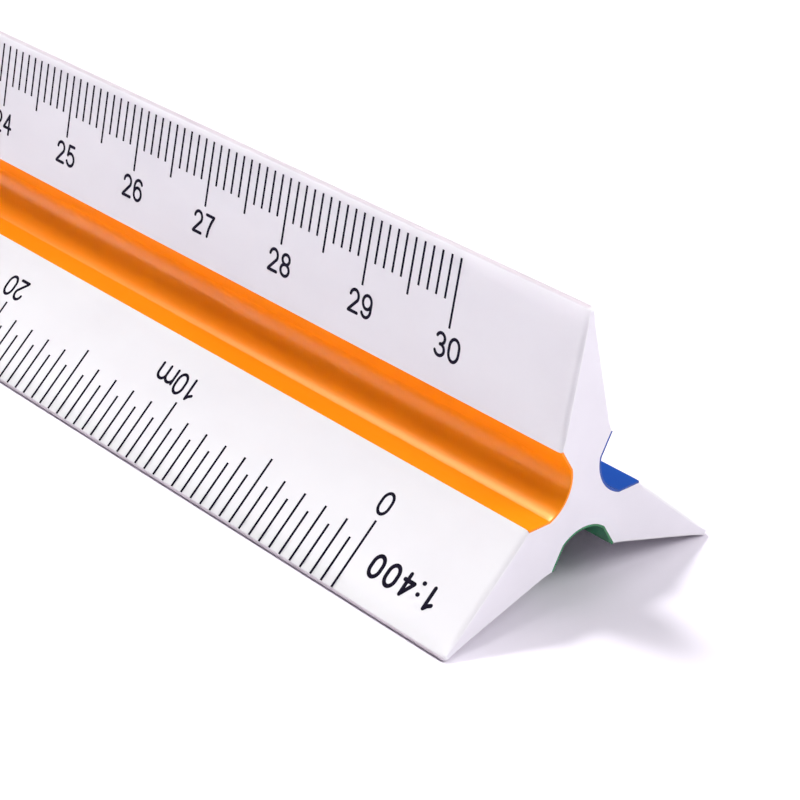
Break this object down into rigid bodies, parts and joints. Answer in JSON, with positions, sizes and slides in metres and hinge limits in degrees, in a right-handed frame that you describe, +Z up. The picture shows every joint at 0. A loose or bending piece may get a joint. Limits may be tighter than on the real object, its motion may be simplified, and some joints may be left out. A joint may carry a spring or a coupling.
{
  "type": "triangular scale ruler",
  "caption": "White three-bladed drafting ruler with scales printed on its facets and a coloured grip strip in each flute.",
  "frame": {"origin": "middle of the base, between the two lower blade edges, on the surface that the ruler stands on", "axes": "+X along the ruler, towards the 30 of its 1:100 scale; +Z up, through the top blade's edge; -Y towards the side with the orange strip"},
  "size_m": [0.3264, 0.0276, 0.0239],
  "materials": {
    "white_plastic": "satin extruded plastic",
    "orange_plastic": "smooth gloss",
    "green_plastic": "smooth gloss",
    "blue_plastic": "smooth gloss",
    "printed_ink": "printed graduations"
  },
  "bodies": {
    "root": {"ruler_body": "white_plastic", "grip_strip_orange": "orange_plastic", "grip_strip_green": "green_plastic", "grip_strip_blue": "blue_plastic"}
  },
  "joints": []
}
